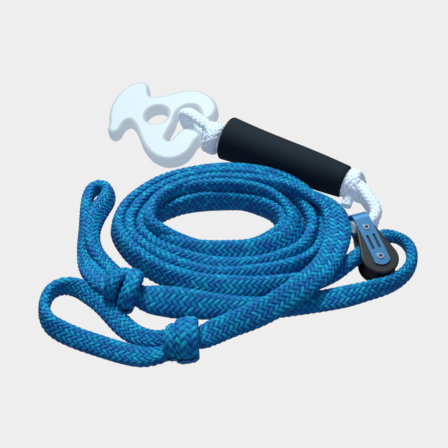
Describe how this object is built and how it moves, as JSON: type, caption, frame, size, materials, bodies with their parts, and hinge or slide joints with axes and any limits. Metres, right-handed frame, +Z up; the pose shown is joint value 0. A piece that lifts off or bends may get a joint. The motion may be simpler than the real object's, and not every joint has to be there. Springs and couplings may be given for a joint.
{
  "type": "boat tow harness",
  "caption": "Coiled rope bridle with knotted loop ends running through a pulley block, with a foam float and a quick connector on a short lanyard.",
  "frame": {"origin": "centre of the pulley block, lanyard, float and connector's bounding box, on the surface the harness lies on", "axes": "+Z up from the surface; +Y towards the connector; +X towards the pulley block"},
  "size_m": [0.3221, 0.3434, 0.0407],
  "materials": {
    "bridle_rope": "braided, slightly glossy",
    "lanyard_rope": "braided, matte",
    "strap_steel": "brushed",
    "rivet_steel": "satin",
    "block_plastic": "moulded",
    "sheave_plastic": "moulded",
    "float_foam": "closed-cell foam, matte",
    "connector_plastic": "smooth moulded"
  },
  "bodies": {
    "block": {"becket_strap": "strap_steel", "upper_cheek": "block_plastic", "lower_cheek": "block_plastic", "axle_bush": "rivet_steel", "axle_rivet": "rivet_steel", "crown_rivet": "rivet_steel", "crown_spacer": "rivet_steel", "bridle_coil": "bridle_rope", "pulley_run": "bridle_rope", "crossing_run": "bridle_rope", "port_loop": "bridle_rope", "starboard_loop": "bridle_rope", "port_knot": "bridle_rope", "starboard_knot": "bridle_rope"},
    "sheave": {"sheave": "sheave_plastic"},
    "lanyard": {"becket_loop": "lanyard_rope", "becket_knot": "lanyard_rope", "lanyard_tail": "lanyard_rope", "lanyard_legs": "lanyard_rope", "connector_knot": "lanyard_rope"},
    "float": {"foam_float": "float_foam"},
    "connector": {"quick_connector": "connector_plastic", "connector_loop": "lanyard_rope"}
  },
  "joints": [
    {"name": "sheave_spin", "type": "hinge", "parent": "block", "child": "sheave", "pos_m": [0.1129, -0.1089, 0.0129], "axis": [0.0631, -0.1801, 0.9816], "continuous": true},
    {"name": "lanyard_lift", "type": "hinge", "parent": "block", "child": "lanyard", "pos_m": [0.09999, -0.07203, 0.02049], "axis": [0.9438, 0.3305, 0], "range_deg": [0, 75]},
    {"name": "float_slide", "type": "slide", "parent": "lanyard", "child": "float", "axis": [-0.895, 0.4433, 0.0507], "range_m": [0, 0.003]},
    {"name": "connector_swing", "type": "hinge", "parent": "lanyard", "child": "connector", "pos_m": [-0.02467, 0.04769, 0.016], "axis": [0, 0, 1], "range_deg": [-30, 10]}
  ]
}
